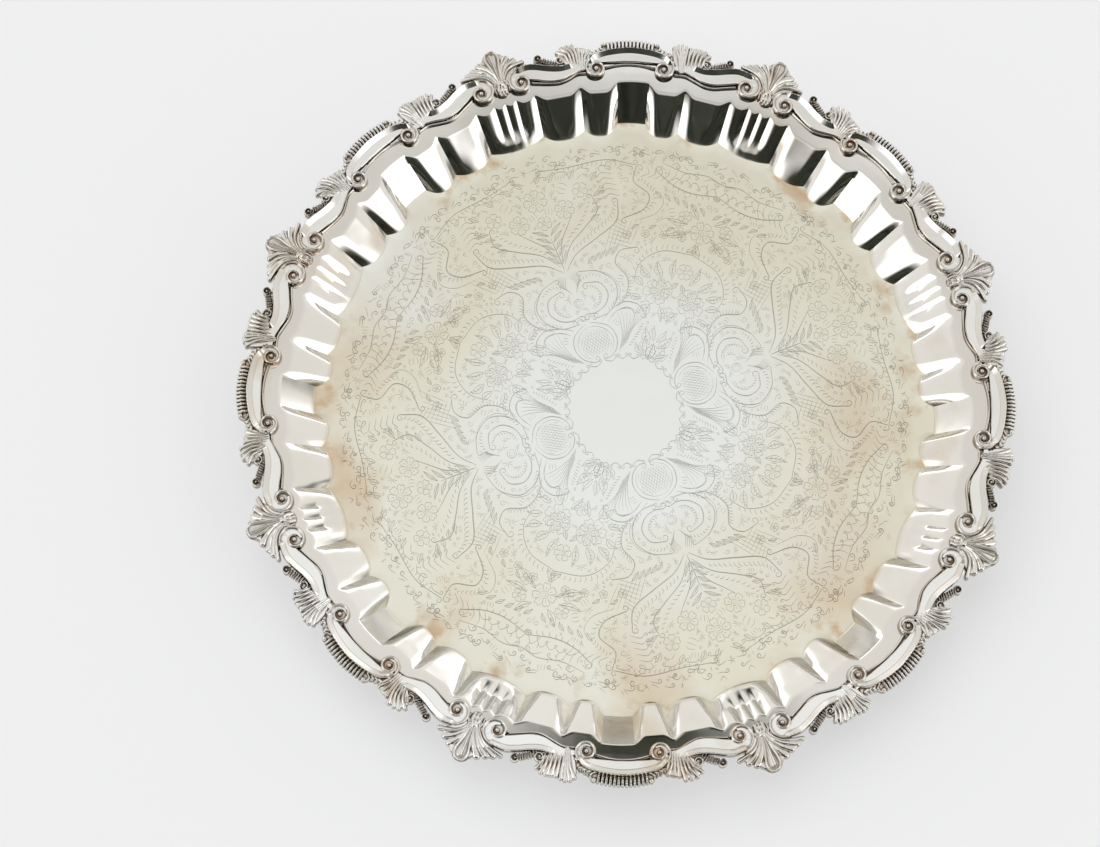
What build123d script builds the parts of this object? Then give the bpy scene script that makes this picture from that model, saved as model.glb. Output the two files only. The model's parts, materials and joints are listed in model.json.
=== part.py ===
"""Silver salver: a fluted sheet pan, a cast border in eight repeats, and four cast feet.

Units are millimetres. +Z is up, and the origin is the centre of the footprint, on the
surface that the salver stands on. The border is drawn in rim coordinates: along is the
distance clockwise round the reference circle from the middle of a repeat, and radius is
the distance from the salver's centre.
"""

import os
from math import cos, degrees, pi, radians, sin

from build123d import *

os.makedirs("parts", exist_ok=True)

# Driving dimensions
repeats = 8
reference_radius = 261.0
foot_height = 14.0
sheet = 1.8
wall_height = 21.5
flange_height = 28.5
plate_height = 3.2
ridge_height = 5.6
rib_height = 5.0
bead_height = 4.6
volute_height = 6.0
roll_width = 2.6
ball_radius = 1.9
c_scroll_shift = -2.6

# Levels
underside_z = foot_height
field_z = underside_z + sheet
wall_top_z = field_z + wall_height
flange_z = field_z + flange_height

# Rim layout, as distances along the reference circle
repeat_length = 2 * pi * reference_radius / repeats
shell_along = repeat_length / 2
panel_half = 12.0
lobe_crease = 41.5
fan_crease = 78.0
finger_creases = (shell_along - 9.0, shell_along)

# Feet
foot_reach = 196.0
foot_angles = {
    "foot_front_right": -45,
    "foot_back_right": 45,
    "foot_back_left": 135,
    "foot_front_left": -135,
}


def at(along, radius, turn=0.0):
    """Point in plan at a rim coordinate, turned clockwise from +Y by turn degrees."""
    angle = along / reference_radius + radians(turn)
    return (radius * sin(angle), radius * cos(angle))


def repeat_turn(index):
    """Clockwise turn in degrees of the middle of one repeat."""
    return 360 / repeats * index


# ---------------------------------------------------------------- pan


def fluted_outline(panel, lobe_a, crease, lobe_b, fan_edge, fan):
    """Closed outline of one level of the wall: a panel, two lobes a side and a fan.

    Each argument is a radius, except fan, which lists the fan's radii from its edge to
    the middle: valley, finger crease, valley, middle crease.
    """
    inner_crease, middle_crease = finger_creases
    half = [
        (panel_half, panel),
        ((panel_half + lobe_crease) / 2, lobe_a),
        (lobe_crease, crease),
        ((lobe_crease + fan_crease) / 2, lobe_b),
        (fan_crease, fan_edge),
        ((fan_crease + inner_crease) / 2, fan[0]),
        (inner_crease, fan[1]),
        ((inner_crease + middle_crease) / 2, fan[2]),
        (middle_crease, fan[3]),
    ]
    left_half = [(-along, radius) for along, radius in reversed(half)]
    points = left_half + [(0.0, panel + 0.5)] + half
    with BuildSketch() as outline:
        with BuildLine():
            for index in range(repeats):
                turn = repeat_turn(index)
                for start in range(0, len(points) - 1, 2):
                    arc = [at(along, radius, turn) for along, radius in points[start : start + 3]]
                    ThreePointArc(*arc)
        make_face()
    return outline.sketch


field_outline = fluted_outline(
    panel=228.5, lobe_a=218.2, crease=224.3, lobe_b=218.4, fan_edge=225.6,
    fan=(222.0, 220.8, 220.2, 219.9),
)
wall_outline = fluted_outline(
    panel=253.4, lobe_a=247.3, crease=251.8, lobe_b=246.8, fan_edge=252.0,
    fan=(249.6, 251.2, 249.9, 251.2),
)
band_outline = fluted_outline(
    panel=263.2, lobe_a=256.4, crease=259.4, lobe_b=255.9, fan_edge=256.6,
    fan=(255.6, 254.9, 254.3, 254.0),
)

flange_edge = [(0, 280), (26, 275.5), (44, 277), (60, 270.8), (73, 270), (88, 277)]
flange_points = []
for repeat in range(repeats):
    for along, radius in [(-a, r) for a, r in reversed(flange_edge[1:])] + flange_edge:
        flange_points.append(at(along, radius, repeat_turn(repeat)))
    flange_points.append(at(shell_along, 284, repeat_turn(repeat)))

with BuildPart() as pan:
    # Solid dish whose outside is the underside of the sheet
    with BuildSketch(Plane.XY.offset(field_z - sheet)):
        add(field_outline)
    with BuildSketch(Plane.XY.offset(wall_top_z - sheet)):
        add(wall_outline)
    with BuildSketch(Plane.XY.offset(flange_z - sheet)):
        add(band_outline)
    loft(ruled=True)
    # Flat flange that carries the castings
    with BuildSketch(Plane.XY.offset(flange_z - sheet)):
        with BuildLine():
            Spline(*flange_points, periodic=True)
        make_face()
    extrude(amount=sheet)
    # Hollow of the dish
    with BuildSketch(Plane.XY.offset(field_z)):
        add(field_outline)
    with BuildSketch(Plane.XY.offset(wall_top_z)):
        add(wall_outline)
    with BuildSketch(Plane.XY.offset(flange_z)):
        add(band_outline)
    loft(ruled=True, mode=Mode.SUBTRACT)
pan.part.label = "pan"
export_step(pan.part, "parts/pan.step")


# ---------------------------------------------------------------- plan shapes of the castings


def blob(points):
    """Closed face through rim coordinates, joined by straight runs at the two ends.

    points is a pair of lists: the outer edge and the inner edge, both from left to right.
    """
    outer, inner = points
    with BuildSketch() as shape:
        with BuildLine():
            Spline(*[at(*point) for point in outer])
            Spline(*[at(*point) for point in inner])
            Line(at(*outer[0]), at(*inner[0]))
            Line(at(*outer[-1]), at(*inner[-1]))
        make_face()
    return shape.sketch


def band(points, width):
    """Strip of constant width along a smooth line through rim coordinates."""
    outer = [(along, radius + width / 2) for along, radius in points]
    inner = [(along, radius - width / 2) for along, radius in points]
    return blob((outer, inner))


def disc(along, radius, size):
    """Round face of the given radius centred on a rim coordinate."""
    with BuildSketch() as shape:
        with Locations(at(along, radius)):
            Circle(size)
    return shape.sketch


def rib(foot, tip, foot_width, tip_width):
    """Tapered rib with a round tip, from one rim coordinate to another."""
    start = Vector(*at(*foot))
    end = Vector(*at(*tip))
    direction = (end - start).normalized()
    across = Vector(-direction.Y, direction.X)
    left_foot = start + across * (foot_width / 2)
    right_foot = start - across * (foot_width / 2)
    left_tip = end + across * (tip_width / 2) - direction * (tip_width / 2)
    right_tip = end - across * (tip_width / 2) - direction * (tip_width / 2)
    with BuildSketch() as shape:
        with BuildLine():
            Line(left_foot, left_tip)
            ThreePointArc(left_tip, end, right_tip)
            Line(right_tip, right_foot)
            Line(right_foot, left_foot)
        make_face()
    return shape.sketch


def joined(*faces):
    """One sketch that holds all the given faces."""
    with BuildSketch() as shape:
        for face in faces:
            add(face)
    return shape.sketch


def cut_to_meet(face, *neighbours):
    """The face cut back to the edges of its neighbours, where solder joins them."""
    with BuildSketch() as shape:
        add(face)
        for neighbour in neighbours:
            add(neighbour, mode=Mode.SUBTRACT)
    return shape.sketch


# C-scroll: a channel between two ridges that ends in a volute each side
c_volutes = [(-25.2, 262.3), (25.2, 262.3)]
c_volute_radius = 8.6
c_ridge = [(-29, 269.4), (-20, 272.2), (0, 275.2), (20, 272.2), (29, 269.4)]
c_bead = [(-18, 263.6), (-10, 265.4), (0, 266.0), (10, 265.4), (18, 263.6)]
c_channel = blob((
    [(-29, 270.6), (-20, 273.4), (0, 276.4), (20, 273.4), (29, 270.6)],
    [(-29, 262), (-18, 262.6), (0, 265), (18, 262.6), (29, 262)],
))
c_crest = blob((
    [(-29, 278), (-16, 283.4), (-8, 285.4), (0, 286.2), (8, 285.4), (17, 283.8), (28, 279.4)],
    [(-29, 266), (-20, 270), (0, 273), (20, 270), (28, 266)],
))
c_outline = joined(
    c_channel, c_crest, *[disc(along, radius, c_volute_radius) for along, radius in c_volutes]
)

# Corner shell: a fan of ribs over a trefoil, with side lobes that spread over the scrolls
shell_tips = [
    (-21.5, 277.5), (-17.5, 281.8), (-13.2, 286.4), (-8.6, 290.0), (-3.6, 292.3),
    (3.6, 292.3), (8.6, 290.0), (13.2, 286.4), (17.5, 281.8), (21.5, 277.5),
]
shell_body = blob((
    [(-22.4, 275.0), (-17.5, 282), (-8.8, 289.8), (0, 292.6), (8.8, 289.8), (17.5, 282), (22.4, 275.0)],
    [(-13.5, 271), (-7, 264), (0, 262), (7, 264), (13.5, 271)],
))
shell_knob = disc(0, 259.6, 5.2)
shell_outline = joined(shell_body, shell_knob)

# S-scrolls: an inner bead, an outer ridge, a volute beside the shell and a leaf crest
s_right_volute = (85.4, 263.4)
s_right_bead = [(36, 262.6), (43, 262.2), (50, 259.4), (57, 257.4), (66, 258.2), (74, 260.8)]
s_right_ridge = [(56, 266), (62, 265.8), (70, 268.6), (78, 271.2)]
s_right_body = blob((
    [(35, 268), (45, 268), (56, 268.4), (66, 270), (76, 273.4), (84, 272.4)],
    [(34, 261.4), (43, 261.2), (50, 258.4), (57, 256.4), (66, 257.2), (84, 256)],
))
s_right_leaf = blob((
    [(56.5, 277.2), (61, 277.8), (66, 281.6), (70, 279.4), (73, 275.4)],
    [(56.5, 264), (61, 266), (66, 267), (70, 268), (73, 270)],
))
s_left_volute = (-85.4, 261.6)
s_left_bead = [(-74, 258.8), (-66, 257.6), (-58, 256.6), (-50, 257.6), (-42, 261), (-36, 262)]
s_left_ridge = [(-78, 271), (-70, 268), (-62, 265.2), (-54, 264.8), (-46, 266)]
s_left_body = blob((
    [(-84, 270.8), (-76, 272.6), (-66, 269.2), (-56, 267.8), (-45, 268), (-35, 266.6)],
    [(-84, 254.4), (-74, 257.6), (-66, 256.4), (-58, 255.4), (-46, 258), (-34, 261)],
))
s_left_leaf = blob((
    [(-73, 273.6), (-70, 277.4), (-66, 279.6), (-62, 275.8), (-58, 274.2)],
    [(-73, 270), (-70, 268), (-66, 267), (-62, 266), (-58, 264)],
))
s_volute_radius = 8.8
s_right_outline = joined(s_right_body, s_right_leaf, disc(*s_right_volute, s_volute_radius))
s_left_outline = joined(s_left_body, s_left_leaf, disc(*s_left_volute, s_volute_radius))

# Fans: ribs that spread outward from a small base beside the C-scroll
fan_right_foot = (42.5, 269.4)
fan_right_tips = [
    (33.4, 281.4), (36.4, 283.0), (39.6, 283.6), (42.9, 283.6), (46.2, 283.4), (49.4, 282.4),
    (52.2, 280.4), (53.8, 277.8),
]
fan_right_outline = blob((
    [(30, 280.6), (33.5, 284.2), (40, 285), (48, 284.6), (54, 281.6), (56.2, 277.6)],
    [(30, 271), (35, 268.4), (43, 268.4), (50, 268.8), (56.2, 270.6)],
))
fan_left_foot = (-44, 269.4)
fan_left_tips = [(-54.6, 277.8), (-51.8, 281), (-48, 283), (-44, 283.2), (-40.6, 280.4), (-37, 278.6)]
fan_left_outline = blob((
    [(-57.4, 275.2), (-52.4, 280.8), (-47, 283.4), (-42.6, 283), (-38.6, 279), (-31, 277.4)],
    [(-57.4, 269.6), (-50, 268.4), (-43, 268.4), (-36, 267.2), (-31, 270)],
))


# ---------------------------------------------------------------- castings


def moved_along(shape, along):
    """The shape moved clockwise round the rim by a distance on the reference circle."""
    return shape.rotate(Axis.Z, -degrees(along / reference_radius))


def casting(outline, raised, volutes=()):
    """One casting: a plate, raised bands and ribs, and volutes with a ball in the eye.

    raised lists (face, height), and volutes lists (along, radius, size). What is raised
    stays inside the outline, so that castings meet edge to edge.
    """
    base = Plane.XY.offset(flange_z)
    with BuildPart() as piece:
        with BuildSketch(base):
            add(outline)
        extrude(amount=plate_height)
        for face, height in raised:
            with BuildSketch(base):
                add(face)
                add(outline, mode=Mode.INTERSECT)
            extrude(amount=height)
        for along, radius, size in volutes:
            place = at(along, radius)
            with BuildSketch(base):
                with Locations(place):
                    Circle(size)
                    Circle(size - roll_width, mode=Mode.SUBTRACT)
                    Circle(ball_radius)
                add(outline, mode=Mode.INTERSECT)
            extrude(amount=volute_height)
            with Locations((*place, flange_z + volute_height)):
                Sphere(ball_radius)
    return piece.part


def place_round_rim(label, pattern, along=0.0):
    """Write one copy of a casting for each repeat, starting along the first repeat."""
    for index in range(repeats):
        piece = moved_along(pattern, along + index * repeat_length)
        piece.label = f"{label}_{index + 1}"
        export_step(piece, f"parts/{piece.label}.step")


def crest_ribs(count, width):
    """Gadroon ribs spread evenly over the outer edge of a C-scroll."""
    ribs = []
    span = 14.0
    for index in range(count):
        along = -span + 2 * span * index / (count - 1)
        tip = 285.6 - 2.4 * (along / span) ** 2
        ribs.append(rib((along * 0.94, 276.0), (along, tip), width, width))
    return joined(*ribs)


def fan_ribs(foot, tips, foot_width, tip_width):
    """Ribs that spread from one foot to a row of tips."""
    ribs = []
    for along, radius in tips:
        start = (foot[0] + (along - foot[0]) * 0.3, foot[1] + (radius - foot[1]) * 0.12)
        ribs.append(rib(start, (along, radius), foot_width, tip_width))
    return joined(*ribs)


c_scroll = casting(
    c_outline,
    raised=[
        (band(c_ridge, 2.2), ridge_height),
        (band(c_bead, 1.8), bead_height),
        (crest_ribs(15, 1.3), rib_height),
    ],
    volutes=[(*centre, c_volute_radius) for centre in c_volutes],
)
place_round_rim("c_scroll", c_scroll, c_scroll_shift)

corner_shell = casting(
    shell_outline,
    raised=[(fan_ribs((0, 262.5), shell_tips, 1.5, 3.4), ridge_height), (disc(0, 259.6, 3.4), volute_height)],
)
place_round_rim("corner_shell", corner_shell, shell_along)

c_scroll_edge = moved_along(c_outline, c_scroll_shift)
shell_on_right = moved_along(shell_outline, shell_along)
shell_on_left = moved_along(shell_outline, -shell_along)

s_scroll_right = casting(
    cut_to_meet(s_right_outline, c_scroll_edge, shell_on_right, fan_right_outline),
    raised=[(band(s_right_ridge, 2.0), ridge_height), (band(s_right_bead, 1.8), bead_height)],
    volutes=[(*s_right_volute, s_volute_radius)],
)
place_round_rim("s_scroll_right", s_scroll_right)

s_scroll_left = casting(
    cut_to_meet(s_left_outline, c_scroll_edge, shell_on_left, fan_left_outline),
    raised=[(band(s_left_ridge, 2.0), ridge_height), (band(s_left_bead, 1.8), bead_height)],
    volutes=[(*s_left_volute, s_volute_radius)],
)
place_round_rim("s_scroll_left", s_scroll_left)

fan_shell_right = casting(
    cut_to_meet(fan_right_outline, c_scroll_edge),
    raised=[(fan_ribs(fan_right_foot, fan_right_tips, 1.2, 2.4), rib_height)],
)
place_round_rim("fan_shell_right", fan_shell_right)

fan_shell_left = casting(
    cut_to_meet(fan_left_outline, c_scroll_edge),
    raised=[(fan_ribs(fan_left_foot, fan_left_tips, 1.2, 2.4), rib_height)],
)
place_round_rim("fan_shell_left", fan_shell_left)


# ---------------------------------------------------------------- feet


def make_foot(label, angle):
    """Scroll foot: a leaf plate under the field, a curled knee and a flat round sole."""
    leaf_length = 44.0
    leaf_width = 34.0
    leaf_thickness = 2.6
    knee_width = 11.0
    sole_radius = 8.0
    sole_thickness = 2.4
    leaf_z = underside_z - leaf_thickness
    radial = Plane(origin=(0, 0, 0), x_dir=(cos(radians(angle)), sin(radians(angle)), 0), z_dir=(0, 0, 1))
    upright = Plane(origin=(0, 0, 0), x_dir=radial.x_dir, z_dir=-radial.y_dir)
    with BuildPart() as foot:
        with BuildSketch(radial.offset(leaf_z)):
            with Locations((foot_reach - 4, 0)):
                Ellipse(leaf_length / 2, leaf_width / 2)
        extrude(amount=leaf_thickness)
        with BuildSketch(radial):
            with Locations((foot_reach, 0)):
                Circle(sole_radius)
        extrude(amount=sole_thickness)
        with BuildSketch(upright):
            with BuildLine():
                Polyline(
                    (foot_reach - 7, sole_thickness - 1),
                    (foot_reach + 6, sole_thickness - 1),
                )
                ThreePointArc(
                    (foot_reach + 6, sole_thickness - 1),
                    (foot_reach - 1, leaf_z * 0.55),
                    (foot_reach + 4, leaf_z + 1),
                )
                Line((foot_reach + 4, leaf_z + 1), (foot_reach - 16, leaf_z + 1))
                ThreePointArc(
                    (foot_reach - 16, leaf_z + 1),
                    (foot_reach - 8, leaf_z * 0.6),
                    (foot_reach - 7, sole_thickness - 1),
                )
            make_face()
        extrude(amount=knee_width / 2, both=True)
    foot.part.label = label
    export_step(foot.part, f"parts/{label}.step")


for foot_label, foot_angle in foot_angles.items():
    make_foot(foot_label, foot_angle)
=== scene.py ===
"""Silver salver: the looks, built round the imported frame.

Relief and flutes are worked out in rim coordinates, in millimetres, as the part is:
along is the distance clockwise round the reference circle from the middle of a repeat,
radius is the distance from the centre, and height is above the flange or the field.
"""

import json
import math

import bpy
import numpy as np
from mathutils import Matrix, Vector


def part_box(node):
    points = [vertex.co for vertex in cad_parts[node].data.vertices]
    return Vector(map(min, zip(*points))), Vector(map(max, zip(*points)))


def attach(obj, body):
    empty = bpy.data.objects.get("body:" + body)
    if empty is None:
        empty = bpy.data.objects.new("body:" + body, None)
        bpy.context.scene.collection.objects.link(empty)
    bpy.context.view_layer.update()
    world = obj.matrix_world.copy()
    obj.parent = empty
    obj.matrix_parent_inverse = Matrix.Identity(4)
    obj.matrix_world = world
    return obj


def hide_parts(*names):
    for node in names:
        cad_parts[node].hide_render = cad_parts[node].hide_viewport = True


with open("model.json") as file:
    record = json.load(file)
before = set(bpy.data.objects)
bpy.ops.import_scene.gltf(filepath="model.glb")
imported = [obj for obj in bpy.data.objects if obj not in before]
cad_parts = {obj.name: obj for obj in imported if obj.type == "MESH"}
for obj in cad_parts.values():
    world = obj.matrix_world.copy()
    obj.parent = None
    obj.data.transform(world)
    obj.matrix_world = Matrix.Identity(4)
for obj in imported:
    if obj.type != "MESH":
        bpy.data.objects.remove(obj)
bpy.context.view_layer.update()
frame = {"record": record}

MM = 0.001
REPEATS = 8
REFERENCE_RADIUS = 261.0
REPEAT_LENGTH = 2 * math.pi * REFERENCE_RADIUS / REPEATS
SHELL_ALONG = REPEAT_LENGTH / 2
# How far the castings stand clockwise of the flutes, in millimetres along the rim
BORDER_LAG = -1.45

FIELD_Z = next(m["pos_m"][2] for m in frame["record"]["mounts"] if m["name"] == "field")
FLANGE_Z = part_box("c_scroll_1")[0].z
BAND_HEIGHT = (FLANGE_Z - FIELD_Z) / MM
SHEET = 1.8


def rim_point(along, radius, height=0.0, level=0.0):
    """Position in metres of a rim coordinate, height in millimetres above a level in metres."""
    angle = along / REFERENCE_RADIUS
    return (radius * np.sin(angle) * MM, radius * np.cos(angle) * MM, level + height * MM)


# ---------------------------------------------------------------- mesh helpers


def new_object(name, vertices, faces, smooth_angle=None):
    """Object from vertex and face lists, smooth shaded, with edges past an angle kept sharp."""
    mesh = bpy.data.meshes.new(name)
    mesh.from_pydata([tuple(v) for v in vertices], [], [tuple(f) for f in faces])
    mesh.validate()
    mesh.shade_smooth()
    if smooth_angle is not None:
        mesh.set_sharp_from_angle(angle=math.radians(smooth_angle))
    mesh.update()
    piece = bpy.data.objects.new(name, mesh)
    bpy.context.scene.collection.objects.link(piece)
    return piece


def linked_copy(piece, name):
    """Another object with the same mesh."""
    copy = bpy.data.objects.new(name, piece.data)
    bpy.context.scene.collection.objects.link(copy)
    return copy


def add_float_attribute(mesh, name, values):
    """Per-vertex value that a material reads."""
    layer = mesh.attributes.new(name, "FLOAT", "POINT")
    layer.data.foreach_set("value", np.asarray(values, np.float32))


def ring_faces(rings, around):
    """Quads between closed rings of vertices that follow one another."""
    faces = []
    for ring in range(rings - 1):
        low, high = ring * around, (ring + 1) * around
        for k in range(around):
            j = (k + 1) % around
            faces.append((low + k, low + j, high + j, high + k))
    return faces


def smooth_line(points, spacing=0.4):
    """Catmull-Rom line through the points, sampled about every spacing."""
    knots = np.asarray(points, float)
    if len(knots) == 2:
        count = max(2, int(np.hypot(*(knots[1] - knots[0])[:2]) / spacing) + 1)
        return knots[0] + (knots[1] - knots[0]) * np.linspace(0, 1, count)[:, None]
    padded = np.vstack([2 * knots[0] - knots[1], knots, 2 * knots[-1] - knots[-2]])
    line = []
    for i in range(len(knots) - 1):
        p0, p1, p2, p3 = padded[i : i + 4]
        count = max(2, int(np.hypot(*(p2 - p1)[:2]) / spacing) + 1)
        t = np.linspace(0, 1, count, endpoint=False)[:, None]
        line.append(
            0.5 * (2 * p1 + (p2 - p0) * t + (2 * p0 - 5 * p1 + 4 * p2 - p3) * t**2
                   + (3 * p1 - p0 - 3 * p2 + p3) * t**3)
        )
    line.append(knots[-1:])
    return np.vstack(line)


def along_line(values, count):
    """Values given at even steps along a line, spread over count samples."""
    values = np.atleast_1d(np.asarray(values, float))
    if len(values) == 1:
        return np.full(count, values[0])
    return np.interp(np.linspace(0, 1, count), np.linspace(0, 1, len(values)), values)


# ---------------------------------------------------------------- relief of a casting


class Relief:
    """Height field of one casting over a grid of rim coordinates.

    cover is the signed distance inside the nearest stroke, so the casting's outline is
    where it passes through zero.
    """

    step = 0.3

    def __init__(self, along_range, radius_range):
        self.along = np.arange(along_range[0], along_range[1] + self.step, self.step)
        self.radius = np.arange(radius_range[0], radius_range[1] + self.step, self.step)
        shape = (len(self.along), len(self.radius))
        self.cover = np.full(shape, -99.0)
        self.height = np.zeros(shape)

    def stroke(self, points, width, top, base=1.2, shape="round", smooth=True, inner=False):
        """Raise a strip along a line. width, top and base may change along it. inner keeps
        only the side of the line nearer the middle of the salver."""
        line = smooth_line(points) if smooth else np.asarray(points, float)
        half = along_line(width, len(line)) / 2
        tops = along_line(top, len(line))
        bases = along_line(base, len(line))
        reach = half.max() + 1.5
        i0, i1 = np.searchsorted(self.along, [line[:, 0].min() - reach, line[:, 0].max() + reach])
        j0, j1 = np.searchsorted(self.radius, [line[:, 1].min() - reach, line[:, 1].max() + reach])
        if i1 <= i0 or j1 <= j0:
            return
        grid_a = self.along[i0:i1, None, None]
        grid_r = self.radius[None, j0:j1, None]
        gap = np.hypot(grid_a - line[:, 0], grid_r - line[:, 1])
        inside = half - gap
        nearest = inside.argmax(axis=2)
        cover = np.take_along_axis(inside, nearest[:, :, None], 2)[:, :, 0]
        if inner:
            order = line[:, 0].argsort()
            limit = np.interp(self.along[i0:i1], line[order, 0], line[order, 1])
            cover = np.where(self.radius[None, j0:j1] > limit[:, None], -99.0, cover)
        ratio = np.clip(1 - cover / half[nearest], 0, 1)
        crown = PROFILES[shape](ratio)
        height = bases[nearest] + (tops[nearest] - bases[nearest]) * crown
        old_cover = self.cover[i0:i1, j0:j1]
        old_height = self.height[i0:i1, j0:j1]
        within = cover > 0
        was_within = old_cover > 0
        new_height = np.where(within & was_within, np.maximum(height, old_height), old_height)
        new_height = np.where(within & ~was_within, height, new_height)
        outside = ~within & ~was_within & (cover > old_cover)
        new_height = np.where(outside, bases[nearest], new_height)
        self.height[i0:i1, j0:j1] = new_height
        self.cover[i0:i1, j0:j1] = np.maximum(cover, old_cover)

    def ball(self, along, radius, size, top, base=1.2):
        """Round bead of a given radius."""
        self.stroke([(along, radius), (along + 0.01, radius)], 2 * size, top, base, smooth=False)

    def cavity(self):
        """How deep each point lies below its surroundings, from 0 to 1."""
        field = np.where(self.cover > 0, self.height, np.nan)
        total = np.zeros_like(field)
        weight = np.zeros_like(field)
        for di in range(-6, 7, 2):
            for dj in range(-6, 7, 2):
                moved = np.roll(np.roll(field, di, 0), dj, 1)
                known = ~np.isnan(moved)
                total += np.where(known, moved, 0)
                weight += known
        mean = total / np.maximum(weight, 1)
        return np.clip((mean - self.height - 0.25) / 1.3, 0, 1)

    def mesh(self, name, bottom=-SHEET):
        """Closed mesh of the casting in metres, for the first repeat."""
        inside = self.cover > 0
        near = inside.copy()
        for di in (-1, 0, 1):
            for dj in (-1, 0, 1):
                near |= np.roll(np.roll(inside, di, 0), dj, 1)
        slope_a, slope_r = np.gradient(np.maximum(self.cover, -2.0), self.step)
        size2 = np.maximum(slope_a**2 + slope_r**2, 0.3)
        push = np.where(near & ~inside, np.clip(self.cover, -1.5 * self.step, 0) / size2, 0)
        along = self.along[:, None] - push * slope_a
        radius = self.radius[None, :] - push * slope_r
        cell = inside[:-1, :-1] | inside[1:, :-1] | inside[:-1, 1:] | inside[1:, 1:]
        cell &= near[:-1, :-1] & near[1:, :-1] & near[:-1, 1:] & near[1:, 1:]
        index = np.arange(inside.size).reshape(inside.shape)
        corners = (index[:-1, 1:], index[1:, 1:], index[1:, :-1], index[:-1, :-1])
        quads = np.stack([corner[cell] for corner in corners], 1)
        used, flat = np.unique(quads, return_inverse=True)
        quads = flat.reshape(quads.shape)
        height = self.height.ravel()[used]
        x, y, z = rim_point(along.ravel()[used], radius.ravel()[used], height, FLANGE_Z)
        top = np.stack([x, y, z], 1)
        under = top.copy()
        under[:, 2] = FLANGE_Z + bottom * MM
        count = len(used)
        edges = {}
        for quad in quads:
            for start, end in zip(quad, np.roll(quad, -1)):
                if edges.pop((end, start), None) is None:
                    edges[(start, end)] = True
        walls = [(start, start + count, end + count, end) for start, end in edges]
        faces = [tuple(q) for q in quads] + [tuple(q[::-1] + count) for q in quads] + walls
        piece = new_object(name, np.vstack([top, under]), faces, 50)
        cavity = self.cavity().ravel()[used]
        edge_cavity = np.full(count, 0.25)
        add_float_attribute(piece.data, "cavity", np.concatenate([cavity, edge_cavity]))
        return piece


# Height of a stroke by the share of the way from its line to its edge
PROFILES = {
    "round": lambda ratio: np.sqrt(1 - ratio**2),
    "soft": lambda ratio: 1 - ratio**2,
    "flat": lambda ratio: np.sqrt(1 - np.clip((ratio - 0.85) / 0.15, 0, 1) ** 2),
    "slope": lambda ratio: 1 - ratio,
}
# Radii of the rolls at every quarter turn, and at the end
C_VOLUTE = (8.4, 6.9, 5.9, 5.1, 4.1, 3.1)
S_VOLUTE_RIGHT = (11.0, 9.6, 6.9, 5.5, 4.2, 3.1)
S_VOLUTE_LEFT = (11.0, 8.8, 6.7, 5.4, 4.2, 3.1)


def volute(relief, centre, start_angle, hand, radii):
    """Roll that winds in to a ball. hand is 1 for anticlockwise in rim coordinates."""
    turns = 1.36
    stops = [0, 0.25, 0.5, 0.75, 1.0, turns]
    turn = np.linspace(0, turns, 110)
    angle = math.radians(start_angle) + hand * 2 * math.pi * turn
    outer = np.interp(turn, stops, radii)
    aim = np.stack([np.cos(angle), np.sin(angle)], 1)
    relief.ball(*centre, radii[2] + 0.4, 3.0, 2.0)
    # Floor of the channel, which runs in between the turns of the roll
    inner = np.interp(turn + 1, stops, radii)
    half_turn = turn < 0.5
    floor = np.asarray(centre) + aim * ((outer + inner) / 2)[:, None]
    gap = np.maximum(outer - inner - 1.2, 0.9)
    relief.stroke(floor[half_turn], gap[half_turn], 4.5, 2.2, "flat", smooth=False)
    points = np.asarray(centre) + aim * outer[:, None]
    widths, tops = [1.7, 2.6, 2.9, 2.6, 1.9, 1.1], [7.2, 6.8, 6.5, 6.4, 6.0, 5.4]
    relief.stroke(points, widths, tops, 2.4, smooth=False)
    relief.ball(*centre, 1.9, 7.0, 3.0)


def scroll_rail(relief, line):
    """Outer rail of a scroll, with the slope that drops from it to the channel floor."""
    relief.stroke(line, 9.2, 7.5, 4.0, "slope", inner=True)
    relief.stroke(line, 1.7, [7.0, 7.6, 7.6, 7.6, 7.0], 3.0)


# ---------------------------------------------------------------- the castings


def both_ways(middle, half):
    """Line that is symmetric about a middle, from (reach, radius) points of its right half."""
    left = [(middle - reach, radius) for reach, radius in half[:0:-1]]
    return left + [(middle + reach, radius) for reach, radius in half]


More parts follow.
